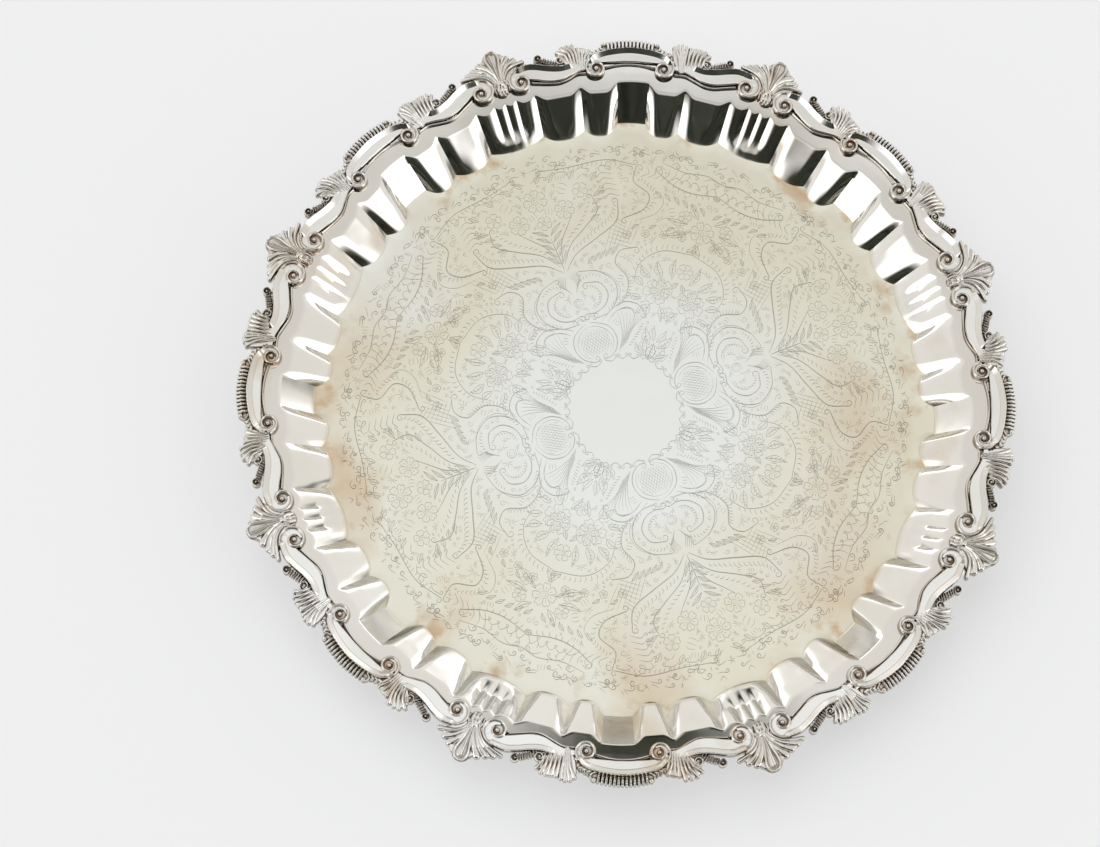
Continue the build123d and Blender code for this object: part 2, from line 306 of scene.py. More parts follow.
def c_scroll_relief():
    """C-scroll: channel, inner bead, outer rail, two volutes and a gadrooned crest."""
    relief = Relief((-38, 36), (252.0, 287.5))
    middle = -1.6
    spread = 25.6
    plate = ((-27, 271), (-15, 275), (0, 277), (15, 275.2), (27, 271.4))
    relief.stroke([(middle + reach, radius) for reach, radius in plate], [9, 12, 13, 12, 9], 3.0, 2.0, "flat")
    channel = both_ways(middle, [(0, 270.7), (18, 269.2), (26.4, 267.6), (31.2, 263.4)])
    relief.stroke(channel, [4.0, 6.0, 8.4, 9.4, 8.4, 6.0, 4.0], 4.6, 2.4, "flat")
    bead = both_ways(middle, [(0, 265.1), (10, 264.4), (20, 262.4)])
    relief.stroke(bead, 1.9, [3.4, 2.4, 2.2, 2.4, 3.4], 0.0)
    scroll_rail(relief, both_ways(middle, [(0, 276.4), (17, 274.6), (26, 271.8), (29.4, 268.8)]))
    for side in (-1, 1):
        volute(relief, (middle + side * spread, 261.2), 62 if side > 0 else 118, -side, C_VOLUTE)
    # Gadroons
    for lean in np.linspace(-1, 1, 13):
        across = middle + 15.6 * lean
        tip = 283.6 - 1.6 * lean**2
        foot = 277.9 - 1.7 * lean**2
        rib = [(across, foot), (across + 0.2 * lean, (foot + tip) / 2), (across + 0.5 * lean, tip)]
        relief.stroke(rib, [2.0, 2.5, 2.1], [5.0, 6.6, 4.4], 2.6)
    # Curls and leaves at the ends of the gadroons
    for side in (-1, 1):
        end = middle + side * 18.4
        relief.ball(end + side * 0.4, 280.6, 1.9, 6.2, 2.4)
        relief.stroke([(end - side * 0.6, 275.2), (end + side * 2.6, 277.2), (end + side * 2.2, 280.4)],
                      [2.2, 2.0, 1.2], [5.2, 5.6, 5.4], 2.4)
        for reach, rise in ((3.0, -1.3), (6.0, -2.4), (9.0, -3.4)):
            leaf = [(end + side * (reach - 0.6), 275.2 + rise * 0.6),
                    (end + side * (reach + 1.6), 276.8 + rise), (end + side * (reach + 1.0), 279.2 + rise)]
            relief.stroke(leaf, [2.6, 2.9, 1.6], [4.6, 5.2, 3.6], 2.2)
    return relief


def leaf_crest(relief, foot, lean, curl):
    """Arched row of short cuts beside an S-scroll that ends in a curl."""
    arch = smooth_line([(foot[0] - lean, foot[1] + 1), (foot[0] + lean * 4.4, foot[1] + 4.4),
                        (foot[0] + lean * 9, foot[1] + 6.6), curl])
    body = arch[: int(0.86 * len(arch))]
    relief.stroke(body, [3.0, 4.0, 3.6], 3.2, 2.0, "flat", smooth=False)
    for share in np.linspace(0.05, 0.93, 7):
        i = int(share * (len(body) - 2))
        ahead = (body[i + 1] - body[i]) / np.hypot(*(body[i + 1] - body[i]))
        across = np.array([-ahead[1], ahead[0]])
        relief.stroke([body[i] - 1.9 * across, body[i] + 0.6 * ahead + 2.0 * across], [1.2, 1.3], 6.0, 2.0)
    # Curl: one turn round a bead
    turn = math.radians(-100) + lean * 2 * math.pi * np.linspace(0, 1, 40)
    size = np.linspace(2.9, 1.9, 40)
    relief.ball(*curl, 2.8, 2.6, 2.0)
    relief.stroke(np.stack([curl[0] + size * np.cos(turn), curl[1] + size * np.sin(turn)], 1),
                  [1.3, 1.4, 1.0], [6.0, 6.4, 5.8], 2.0, smooth=False)
    relief.ball(*curl, 1.0, 6.6, 2.6)


def s_scroll_relief(side):
    """S-scroll: channel from the fan to the shell, inner bead, rail, volute and crest."""
    widths = [4.0, 6.4, 7.6, 8.0, 8.0, 8.0, 8.0, 7.6, 5.0]
    if side == "right":
        relief = Relief((28, 102), (248.5, 285))
        channel = [(33, 263.6), (40, 264.4), (48, 262.8), (56, 260.3), (64, 260.6), (72, 263.4),
                   (80, 266.6), (87, 268.6), (92, 267.8)]
        bead = [(33, 259.4), (41, 259.6), (49, 257), (57, 254.6), (64, 254.8), (72, 257.6), (80, 260.6)]
        rail = [(48, 267.0), (53, 266.2), (58, 266.6), (64, 268.2), (71, 271.0), (79, 273.2),
                (87.6, 272.8)]
        centre, start_angle, hand, radii = (88.2, 261.8), 93, -1, S_VOLUTE_RIGHT
        foot, curl = (58.2, 267.2), (70.8, 276.2)
    else:
        relief = Relief((-98, -28), (248.5, 285))
        channel = [(-34, 262.8), (-40, 263.4), (-48, 261.4), (-56, 259.2), (-64, 260), (-72, 262.8),
                   (-79, 265.2), (-84.5, 267.0), (-89, 266.2)]
        bead = [(-35, 259.4), (-42, 259.2), (-49, 256.2), (-56, 254.4), (-63, 255), (-70, 256.6),
                (-77, 258.6)]
        rail = [(-47, 266.4), (-52, 265.6), (-57, 265.8), (-64, 267.6), (-71, 270.2), (-78, 271.9),
                (-84.8, 271.2)]
        centre, start_angle, hand, radii = (-85.2, 260.2), 88, 1, S_VOLUTE_LEFT
        foot, curl = (-56.4, 266.4), (-68.6, 275.4)
    relief.stroke(channel, widths, 4.6, 2.4, "flat")
    relief.stroke(bead, 1.8, [2.6, 2.2, 2.2, 2.6], 0.0)
    scroll_rail(relief, rail)
    volute(relief, centre, start_angle, hand, radii)
    leaf_crest(relief, foot, 1 if side == "right" else -1, curl)
    return relief


def fan_relief(side):
    """Ribbed fan between the C-scroll and the S-scroll's leaf."""
    if side == "right":
        relief = Relief((24, 62), (256, 288))
        plates = [([(36, 264), (35, 272), (34.8, 277.6)], [5, 10, 12]), ([(43, 267), (46.4, 274.8)], [9, 16])]
        feet = [(35.6, 261.4), (36.6, 260.8), (37.6, 260.6), (38.8, 261.2), (41.0, 264.4), (43.6, 265.2),
                (46.2, 265.8), (49.0, 266.4), (51.6, 267.2)]
        tips = [(29.8, 280.6), (32.6, 282.6), (35.6, 283.2), (38.6, 282.4), (42.0, 281.4), (45.4, 281.4),
                (48.8, 281.6), (52.2, 281.0), (55.2, 278.6)]
        small, hand, start_angle = (55.2, 270.6), 1, 120
    else:
        relief = Relief((-64, -24), (256, 288))
        plates = [([(-37.4, 264), (-37, 273)], [6, 13]), ([(-43, 267), (-47, 275)], [9, 14.4])]
        feet = [(-36.0, 261.2), (-37.4, 260.8), (-38.8, 261.2), (-40.4, 262.8), (-42.4, 264.4),
                (-44.6, 265.8), (-47, 267.2)]
        tips = [(-31.6, 276.6), (-35.4, 277.6), (-39.2, 278.8), (-43.0, 281.9), (-46.8, 281.8),
                (-50.6, 281.0), (-54.0, 278.2)]
        small, hand, start_angle = (-52.9, 270.6), -1, 60
    for points, width in plates:
        relief.stroke(points, width, 4.2, 3.0, "flat")
    for foot, tip in zip(feet, tips):
        bend = (foot[0] * 0.72 + tip[0] * 0.28, foot[1] * 0.42 + tip[1] * 0.58)
        relief.stroke([foot, bend, tip], [1.4, 2.6, 3.2], [4.8, 6.6, 4.6], 2.8)
    # Small curl beside the fan
    share = np.linspace(0, 1, 40)
    turn = math.radians(start_angle) - hand * 2 * math.pi * 1.1 * share
    size = 3.5 - 1.9 * share
    curl = np.stack([small[0] + size * np.cos(turn), small[1] + size * np.sin(turn)], 1)
    relief.ball(*small, 3.2, 3.2, 2.0)
    relief.stroke(curl, [1.4, 1.8, 1.2], [5.4, 5.8, 5.4], 2.4, smooth=False)
    relief.ball(*small, 1.2, 6.0, 2.6)
    return relief


# (line, width) of the low plates of the corner shell, and (line, tip width) of its leaves
SHELL_PLATES = [
    ([(104.4, 262), (105, 272), (105.2, 280)], [9, 18, 20]),
    ([(100.4, 268), (95, 274.5), (89.4, 278)], [9, 12, 9.4]),
    ([(90, 276), (83.4, 277.8)], [5, 3.6]),
    ([(109, 268), (113.4, 273.2), (118, 276.6)], [9, 11, 8]),
]
SHELL_LEAVES = [
    ([(103.3, 266), (101.7, 272.6), (98.7, 278.8), (95.0, 283.6)], 5.2),
    ([(102.6, 265.2), (99.7, 271.6), (95.4, 277.2), (89.8, 281.2)], 5.0),
    ([(102.0, 264.4), (98.8, 270.4), (93.4, 275.4), (85.0, 279.6)], 4.4),
    ([(101.2, 263.0), (97.9, 269.0), (92.0, 274.2), (80.4, 277.8)], 3.3),
    ([(106.2, 266), (107.8, 272.8), (110.8, 278.8), (114.4, 283.0)], 5.2),
    ([(106.9, 265.2), (109.4, 271.6), (113.6, 276.8), (119.0, 280.0)], 4.8),
    ([(107.7, 264.2), (110.2, 269.4), (115.0, 273.8), (124.8, 276.8)], 3.6),
]


def corner_shell_relief():
    """Corner shell: a tall round-headed lobe, leaves that spread over the scrolls, a knot."""
    relief = Relief((74, 131), (251.5, 294.5))
    for points, width in SHELL_PLATES:
        relief.stroke(points, width, 4.3, 3.0, "flat")
    for points, width in SHELL_LEAVES:
        relief.stroke(points, [1.5, 0.6 * width, 0.92 * width, width], [5.4, 6.8, 6.8, 4.8], 2.8)
    # The lobe, with a roll down each side and one down its middle
    lobe_line = [(104.6, 265), (104.7, 276), (104.9, 286.2)]
    relief.stroke(lobe_line, [4.6, 8.4, 11.6], [5.2, 6.2, 5.6], 2.6, "soft")
    middle_roll = [(104.6, 265), (104.5, 276), (104.2, 287.4)]
    relief.stroke(middle_roll, [1.3, 2.0, 2.4], [5.8, 7.4, 7.2], 3.4)
    for side in (-1, 1):
        relief.stroke([(104.6 + side * 0.9, 265), (104.7 + side * 2.5, 275), (104.9 + side * 4.4, 284.6),
                       (104.9 + side * 3.0, 289.8), (104.9, 291.0)],
                      [1.3, 2.0, 2.2, 2.0, 1.6], [5.8, 7.4, 7.4, 6.6, 6.2], 3.4)
    # Knot at the foot of the shell
    relief.ball(104.6, 264.4, 3.4, 6.6, 2.6)
    relief.ball(104.6, 259.6, 5.4, 3.0, 1.6)
    for side in (-1, 1):
        relief.stroke([(104.6 + side * 1.3, 264), (104.6 + side * 2.8, 260.2), (104.6 + side * 2.7, 256.4)],
                      [2.6, 3.6, 2.8], [6.0, 6.0, 4.2], 2.0)
        relief.stroke([(104.6 + side * 4.2, 265.2), (104.6 + side * 5.6, 261.4), (104.6 + side * 5.4, 257.8)],
                      [1.8, 2.2, 1.8], [5.4, 5.4, 4.0], 1.8)
    relief.stroke([(104.6, 262.4), (104.6, 255.8)], [2.4, 2.0], [5.8, 3.8], 1.8)
    return relief


# ---------------------------------------------------------------- pan


CREASES = [0.0, 12.0, 41.5, 78.0, 93.5, SHELL_ALONG]
CREASE_STEPS = [6, 26, 30, 16, 10]
FIELD_OUTLINE = (228.5, 218.2, 224.3, 218.4, 225.6, 219.9)
WALL_OUTLINE = (253.4, 247.3, 251.8, 247.2, 252.0, 250.2)
BAND_EDGE = 266.5
# (radii, heights above the field) of the band, and (alongs, radii) of the flange's hidden edge
BAND_LEVELS = ([244.0, 248.0, 254.0, 260.0, BAND_EDGE], [18.6, 20.4, 23.1, 25.75, BAND_HEIGHT])
FLANGE_EDGE = ([0, 26, 44, 60, 73, 88, SHELL_ALONG], [279, 274.5, 276, 269.8, 269, 276, 283])


def column_alongs():
    """Column positions round one repeat, with a column on every crease."""
    half = []
    for start, end, steps in zip(CREASES, CREASES[1:], CREASE_STEPS):
        half.extend(np.linspace(start, end, steps, endpoint=False))
    half.append(CREASES[-1])
    half = np.array(half)
    return np.concatenate([-half[:0:-1], half[:-1]])


def facet(share):
    """Rise of a lobe's side: straight, then rounded over into the crown of the lobe."""
    straight = 0.42
    slope = 2 / (1 + straight)
    share = min(max(share, 0.0), 1.0)
    if share < straight:
        return slope * share
    return 1 - slope * (1 - share) ** 2 / (2 * (1 - straight))


def lobe(distance, start, end, first_side, last_side, square):
    """How far a lobe stands out of the line between its creases, round or square shouldered."""
    across = 2 * (distance - start) / (end - start) - 1
    rounded = 1 - abs(across) ** 2.2
    shouldered = min(facet((distance - start) / first_side), facet((end - distance) / last_side))
    return rounded * (1 - square) + shouldered * (1 - 0.08 * across**2) * square


def fluted_radius(along, outline, single, square):
    """Radius of one level of the wall. single blends the fingers into one wide lobe."""
    panel, lobe_a, crease, lobe_b, fan_edge, fan = outline
    distance = abs(along)
    _, panel_end, lobe_end, fan_start, finger_end, fan_middle = CREASES
    if distance <= panel_end:
        return panel + 0.4 * (1 - (distance / panel_end) ** 2)
    if distance <= lobe_end:
        straight = panel + (crease - panel) * (distance - panel_end) / (lobe_end - panel_end)
        return straight - (straight - lobe_a) * lobe(distance, panel_end, lobe_end, 9.4, 8.6, square)
    if distance <= fan_start:
        straight = crease + (fan_edge - crease) * (distance - lobe_end) / (fan_start - lobe_end)
        return straight - (straight - lobe_b) * lobe(distance, lobe_end, fan_start, 9.4, 10.4, square)
    t = (distance - fan_start) / (fan_middle - fan_start)
    wide = fan_edge - (fan_edge - fan) * math.sin(math.pi / 2 * t) ** 0.8
    if distance <= finger_end:
        finger = lobe(distance, fan_start, finger_end, 7.0, 6.4, 1.0)
        depth = 3.0
    else:
        finger = lobe(distance, finger_end, fan_middle, 4.2, 4.2, 1.0)
        depth = 2.2
    fingers = fan_edge - 0.4 * t - depth * finger
    return wide * single + fingers * (1 - single)


def pan_rows():
    """Rows of the sheet from the middle out, round the flange's edge and back underneath:
    (kind, share of the way through that kind, depth below the top face)."""
    rows = [("field", share, 0) for share in (0.06, 0.18, 0.32, 0.48, 0.62, 0.74, 0.84, 0.92, 0.97)]
    rows += [("wall", share, 0) for share in (0, 0.015, 0.03, 0.05, 0.08, *np.linspace(0.11, 1, 20))]
    rows += [("band", share, 0) for share in np.linspace(0, 1, 11)[1:]]
    rows += [("flange", 1, 0), ("flange", 1, SHEET), ("band", 1, SHEET)]
    rows += [("wall", share, SHEET) for share in np.linspace(1, 0, 13)]
    return rows + [("field", share, SHEET) for share in (0.9, 0.6, 0.3, 0.06)]


def row_point(kind, share, along):
    """(radius, height above the field) of one row at one column, on the top face."""
    if kind == "field":
        return 0.993 * fluted_radius(along, FIELD_OUTLINE, 1.0, 0.0) * share, 0.0
    if kind == "flange":
        return float(np.interp(abs(along), *FLANGE_EDGE)), BAND_HEIGHT
    edge = fluted_radius(along, WALL_OUTLINE, 0.0, 1.0)
    edge_height = np.interp(edge, *BAND_LEVELS)
    if kind == "wall":
        # The fingers of the fan fade into one lobe over the lower part of the wall
        single = 1 - min(max((share - 0.18) / 0.3, 0), 1)
        low = fluted_radius(along, FIELD_OUTLINE, single, min(share * 1.6, 1.0))
        fillet = 0.05
        rise = share - fillet / 2 if share > fillet else share**2 / (2 * fillet)
        return low + (edge - low) * share, edge_height * rise / (1 - fillet / 2)
    radius = edge + (BAND_EDGE - edge) * share
    return radius, np.interp(radius, *BAND_LEVELS)


def field_share(kind, share):
    """1 on the field, falling to 0 over the foot of the wall."""
    foot = 0.16
    if kind == "field":
        return 1.0
    return max(0.0, 1 - share / foot) if kind == "wall" else 0.0


def make_pan():
    """Field, fluted wall, rim band and flange of the sheet, with its underside."""
    columns = column_alongs()
    rows = pan_rows()
    per_ring = len(columns) * REPEATS
    vertices = []
    for kind, share, depth in rows:
        ring = np.array([row_point(kind, share, along) for along in columns])
        for repeat in range(REPEATS):
            along = columns + repeat * REPEAT_LENGTH
            x, y, z = rim_point(along, ring[:, 0], ring[:, 1] - depth, FIELD_Z)
            vertices.append(np.stack([x, y, z], 1))
    faces = [(a, d, c, b) for a, b, c, d in ring_faces(len(rows), per_ring)]
    last = (len(rows) - 1) * per_ring
    faces.append(tuple(range(per_ring)))
    faces.append(tuple(range(last + per_ring - 1, last - 1, -1)))
    pan = new_object("pan_sheet", np.vstack(vertices), faces, 24)
    # The dull field passes into the polished wall over the foot of the wall
    shares = [field_share(kind, share) for kind, share, _ in rows]
    add_float_attribute(pan.data, "field_share", np.repeat(shares, per_ring))
    return pan


# ---------------------------------------------------------------- engraving


MOTIF_COUNT = 4
MOTIF_ANGLE = -23.7
LINE_RISE = 0.06
# Outline of a petal, as (share of its sector, share of the flower's radius)
PETAL = ((0.04, 0.34), (0.10, 0.80), (0.32, 0.96), (0.5, 0.88), (0.68, 0.98), (0.90, 0.80), (0.96, 0.34))
# (least distance from what is drawn, tries) for the foliage that fills the gaps
GAP_PASSES = ((4.4, 500), (3.2, 700), (2.3, 900))


def polar(degrees, radius):
    """Position on the field, in millimetres, of an angle clockwise from the motif's middle."""
    angle = math.radians(degrees)
    return np.array([radius * math.sin(angle), radius * math.cos(angle)])


def turned(vector, degrees):
    """Vector turned anticlockwise."""
    angle = math.radians(degrees)
    c, s = math.cos(angle), math.sin(angle)
    return np.array([c * vector[0] - s * vector[1], s * vector[0] + c * vector[1]])


class Engraving:
    """Lines of one motif, which is symmetric about its middle and repeated round the field."""

    def __init__(self):
        self.lines = []

    def line(self, points, width=0.6, mirrored=True):
        """Tapered line through positions in millimetres."""
        smooth = smooth_line(points, 1.0)
        self.lines.append((smooth, width))
        if mirrored:
            self.lines.append((smooth * (-1, 1), width))

    def curve(self, points, width=0.6, end=None, start=None, mirrored=True):
        """Line through (degrees, radius) points that can curl up at its ends: (size, hand)."""
        path = smooth_line([polar(*point) for point in points], 1.5)
        parts = [path]
        if end:
            parts.append(curl_tail(path[-1], path[-1] - path[-2], *end))
        if start:
            parts.insert(0, curl_tail(path[0], path[0] - path[1], *start)[::-1])
        self.line(np.vstack(parts), width, mirrored)

    def ring(self, centre, size, width=0.45, mirrored=True):
        """Small circle."""
        angle = np.linspace(0, 2 * math.pi, 13)
        self.line(centre + size * np.stack([np.cos(angle), np.sin(angle)], 1), width, mirrored)

    def flower(self, degrees, radius, size, petals=6, mirrored=True):
        """Open flower: lobed petals round a double eye."""
        centre = polar(degrees, radius)
        for i in range(petals):
            outline = []
            for turn, reach in PETAL:
                angle = 2 * math.pi * (i + turn) / petals
                outline.append(centre + size * reach * np.array([math.cos(angle), math.sin(angle)]))
            self.line(outline, 0.5, mirrored)
            middle = 2 * math.pi * (i + 0.5) / petals
            ray = np.array([math.cos(middle), math.sin(middle)])
            self.line([centre + size * 0.42 * ray, centre + size * 0.68 * ray], 0.5, mirrored)
        self.ring(centre, size * 0.30, 0.45, mirrored)
        self.ring(centre, size * 0.14, 0.4, mirrored)

    def leaf(self, root, tip, width, bend=0.0, veins=4, mirrored=True):
        """Leaf with a midrib and veins between (degrees, radius) points. bend bows it sideways."""
        root, tip = polar(*root), polar(*tip)
        along = tip - root
        across = turned(along, 90) / np.hypot(*along)
        middle = root + along * 0.55 + across * bend
        for side in (-1, 1):
            bulge = side * width * across
            near_root = root + along * 0.3 + across * bend * 0.7 + bulge * 0.9
            near_tip = root + along * 0.82 + across * bend * 0.5 + bulge * 0.35
            self.line([root, near_root, middle + bulge, near_tip, tip], 0.5, mirrored)
            for i in range(veins):
                share = 0.25 + 0.55 * i / max(veins - 1, 1)
                foot = root + along * share + across * bend * math.sin(math.pi * share)
                self.line([foot, foot + along * 0.10 + bulge * 0.62], 0.45, mirrored)
        self.line([root, middle, tip], 0.6, mirrored)

    def ticks(self, points, count, length, lean=60, mirrored=True):
        """Row of short cuts along a line through (degrees, radius) points."""
        path = smooth_line([polar(*point) for point in points], 0.5)
        for i in range(count):
            spot = int((i + 0.5) / count * (len(path) - 2))
            direction = path[spot + 1] - path[spot]
            direction = direction / max(np.hypot(*direction), 1e-6)
            cut = turned(direction, lean) * length * (0.7 + 0.3 * math.sin(math.pi * (i + 0.5) / count))
            bow = turned(cut, 25) * 0.55
            self.line([path[spot], path[spot] + bow, path[spot] + cut], 0.6, mirrored)

    def mesh(self, name):
        """Closed mesh of three-sided strips that stand just proud of the field."""
        vertices = []
        faces = []
        for path, width in self.lines:
            steps = np.diff(path, axis=0)
            keep = np.concatenate([[True], np.hypot(steps[:, 0], steps[:, 1]) > 0.05])
            path = path[keep]
            count = len(path)
            if count < 2:
                continue
            forward = np.gradient(path, axis=0)
            forward /= np.maximum(np.hypot(forward[:, 0], forward[:, 1]), 1e-6)[:, None]
            across = np.stack([-forward[:, 1], forward[:, 0]], 1)
            share = np.linspace(0, 1, count)
            half = 0.5 * width * (0.22 + 0.78 * np.sin(math.pi * share**0.8) ** 0.7)[:, None]
            first = len(vertices)
            left, right = path + across * half, path - across * half
            for i in range(count):
                vertices.append((*left[i], -0.02))
                vertices.append((*path[i], LINE_RISE))
                vertices.append((*right[i], -0.02))
            for i in range(count - 1):
                a = first + 3 * i
                faces += [(a, a + 1, a + 4, a + 3), (a + 1, a + 2, a + 5, a + 4), (a + 2, a, a + 3, a + 5)]
            last = first + 3 * (count - 1)
            faces += [(first, first + 2, first + 1), (last, last + 1, last + 2)]
        placed = np.array(vertices) * MM + (0, 0, FIELD_Z)
        return new_object(name, placed, faces)


def curl_tail(point, direction, size, hand, turns=1.05):
    """Curl that carries a line on from a point. hand is 1 to turn left."""
    direction = direction / np.hypot(*direction)
    inward = turned(direction, 90 * hand)
    centre = point + size * inward
    tail = []
    for t in np.linspace(0.06, 1, 14):
        tail.append(centre - turned(inward, hand * 360 * turns * t) * size * (1 - 0.72 * t))
    return np.array(tail)


def engrave_centre(lines):
    """Scrolled edge of the plain disc, the diapered shield and the leaves beside it."""
    for low, high, radius in ((2.5, 14, 40.2), (16, 25, 41.2), (27, 36, 41.6), (38, 44, 43)):
        scallop = [(low, radius + 1), ((low + high) / 2, radius - 0.6), (high, radius + 1.6)]
        lines.curve(scallop, 0.7, (1.3, 1), (1.3, -1))
    # Serrated leaves where two motifs meet
    for root, tip, width, bend in (
        ((45, 43), (45, 57), 3.4, 0), ((41, 45), (37, 60), 3.0, 1.5), ((42, 54), (36, 68), 2.8, 1.5),
        ((39, 46), (31, 54), 2.2, 1.0), ((44, 58), (41, 70), 2.2, 1.2),
    ):
        lines.leaf(root, tip, width, bend, 4)
    # Shield, open at the top, with a curl either side of its foot
    shield = [(1.2, 73), (5, 71.5), (12, 67), (16.4, 58), (15.4, 49), (9, 43.4), (4.5, 42.8)]
    lines.curve(shield, 0.85, (2.2, -1))
    lines.curve([(0, 70), (5, 68.6), (10.6, 64), (13.8, 57), (12.6, 50), (7.4, 45.8)], 0.5)
    lines.curve([(0, 74.5), (3, 78), (5.4, 76)], 0.6, (1.2, -1))
    for offset in range(-6, 7):
        for lean in (-1, 1):
            cut = []
            for step in range(13):
                v = -12 + 2 * step
                u = offset * 2.3 + lean * v * 0.6
                if (u / 12.6) ** 2 + (v / 12.0) ** 2 < 1:
                    cut.append((u, 57.2 + v))
            if len(cut) > 1:
                lines.line(np.array(cut), 0.36, False)
    # Broad acanthus leaves that sweep out beside the shield
    for i in range(8):
        lines.curve([(17 + 0.9 * i, 46 + 0.9 * i), (20.5 + 1.1 * i, 57 + 1.2 * i),
                     (20 + 1.9 * i, 69 + 0.7 * i), (18 + 2.6 * i, 78 - 0.5 * i)], 0.55)
    for i in range(4):
        lines.curve([(12 + i, 70 + 1.5 * i), (17 + 1.2 * i, 77 + i), (24 + i, 81 - 0.8 * i),
                     (31 - i, 76 - 2.4 * i)], 0.55)
    lines.curve([(9, 72), (15, 79), (22, 85), (29, 84), (34, 78)], 0.85, (2.6, -1))
    lines.ticks([(14, 78), (21, 86.5), (29, 86), (34, 80)], 13, 4.4, 55)
    lines.ticks([(25, 50), (30, 60), (33, 70)], 9, 3.4, -60)


def engrave_scrolls(lines):
    """Paired scrolls round the eye, and the leaves and flowers between the motifs."""
    lines.ring(polar(0, 90), 3.4, 0.6, False)
    lines.ring(polar(0, 90), 1.9, 0.45, False)
    # Inner and outer scroll, each drawn as a double line
    lines.curve([(2, 80), (7, 79.4), (12.5, 84), (14.6, 93), (11.6, 102), (6, 104)], 0.95, (2.8, 1), (2.6, 1))
    lines.curve([(5, 83), (9, 84.6), (11.6, 92), (9.6, 99)], 0.5)
    lines.curve([(7, 75), (14, 78), (18.6, 88), (18.2, 101), (12, 111), (5, 114)], 0.85, (2.2, 1), (2.2, -1))
    lines.curve([(16.4, 82), (20.4, 94), (17, 106), (10, 113.4)], 0.5)
    lines.curve([(18, 80), (23, 90), (23.6, 104), (19, 116), (21, 126), (26, 129)], 0.9, (2.8, -1))
    lines.ticks([(17.5, 82), (23, 92), (23.4, 104), (19.5, 115)], 17, 4.6, -55)
    lines.ticks([(6, 85), (9.4, 88), (10, 96), (7, 101)], 11, 2.6, -60)
    lines.ticks([(3, 104), (8, 108), (13, 106)], 8, 3.0, 60)
    for i in range(5):
        lines.curve([(0.8 + 0.5 * i, 98 + 1.4 * i), (2.4 + 0.5 * i, 105 + i),
                     (0.6 + 0.7 * i, 113 + 0.6 * i)], 0.6)
        lines.leaf((9 + 2.2 * i, 118 + 1.2 * i), (11.6 + 2.2 * i, 124 + 1.6 * i), 1.2, 0.5, 2)
    lines.flower(36.6, 96, 10.6)
    lines.flower(51.6, 99, 9.0, 7)
    lines.flower(45, 82, 5.6, 5, False)
    lines.flower(45, 118, 6.6, 6, False)
    for root, tip, width, bend in (
        ((30.4, 90), (24.2, 92), 2.2, 1.2), ((30.4, 99), (25, 106), 2.4, -1.2),
        ((33, 106), (28.4, 116), 2.6, 1.6), ((37.4, 108), (34.4, 121), 2.8, 1.6),
        ((41.4, 109), (40.4, 126), 2.2, 1.2), ((40, 86), (43.4, 74), 2.2, 1.2),
        ((35, 85.6), (34.4, 74), 2.2, -1.2), ((31.4, 84), (28, 76), 1.8, 1.0),
        ((42.6, 102), (44.4, 108), 1.5, 0.6),
    ):
        lines.leaf(root, tip, width, bend, 4)
    lines.curve([(26, 98), (28, 116), (35, 129), (45, 133)], 0.7, (2.2, 1))
    lines.ticks([(26.4, 110), (31, 125), (38, 132), (44, 134)], 13, 4.4, 70)


def engrave_bouquet(lines):
    """Plume and bouquet over the eye, with trellis beside it and small flowers outside it."""
    lines.curve([(0.6, 117), (6, 128), (14, 138), (20, 150), (20.6, 166)], 1.1, (2.6, 1))
    lines.curve([(0.8, 122), (5, 136), (11, 148), (15, 160), (14, 172)], 0.9, (2.2, 1))
    lines.curve([(0.6, 126), (2.6, 140), (6, 152), (8, 160)], 0.8)
    lines.ticks([(5, 130), (13, 140), (19, 152), (20.4, 164)], 15, 5.0, 50)
    lines.ticks([(2, 130), (5, 142), (10, 154), (13, 168)], 12, 3.8, -45)
    lines.line([polar(0, 118), polar(0, 146)], 1.0, False)
    for i in range(5):
        lines.leaf((0.3, 124 + 6 * i), (3.2 + 0.3 * i, 132 + 6 * i), 1.2, 0.6, 2)
    lines.flower(0, 178, 9.6, 7, False)
    lines.flower(6.4, 165, 8.0, 6)
    lines.flower(11.4, 178, 6.4, 5)
    lines.flower(0, 159, 6.0, 5, False)
    for i in range(4):
        lines.leaf((12.6 + 0.6 * i, 152 + 6.4 * i), (15.6 + 0.6 * i, 156 + 6.4 * i), 1.5, 0.6, 2)
    tufts = ((4.6, 189, 7), (9.4, 188, 7), (14.4, 184, 7), (15.8, 172, 6), (1.6, 191, 6))
    for degrees, radius, reach in tufts:
        lines.leaf((degrees, radius), (degrees + 1.6, radius + reach), 1.9, 0.8, 3)
    # Trellis between the plume and the side scrolls
    for i in range(7):
        lines.curve([(15.5 + 1.5 * i, 126 + 1.0 * i), (18.5 + 1.5 * i, 146 + 1.2 * i)], 0.4)
        lines.curve([(25.5 - 0.6 * i, 128 + 3.4 * i), (16.8 + 0.4 * i, 134 + 3.4 * i)], 0.4)
    lines.flower(45, 152, 9.4, 7, False)
    lines.flower(39, 160, 5.4, 5)
    lines.flower(38.6, 147, 4.6, 5)
    for root, tip in (
        ((40.6, 148), (34.6, 142)), ((40.4, 155), (34, 156)), ((42.8, 161), (39.6, 172)),
        ((45.6, 142), (42.6, 133)),
    ):
        lines.leaf(root, tip, 2.2, 1.0, 3)


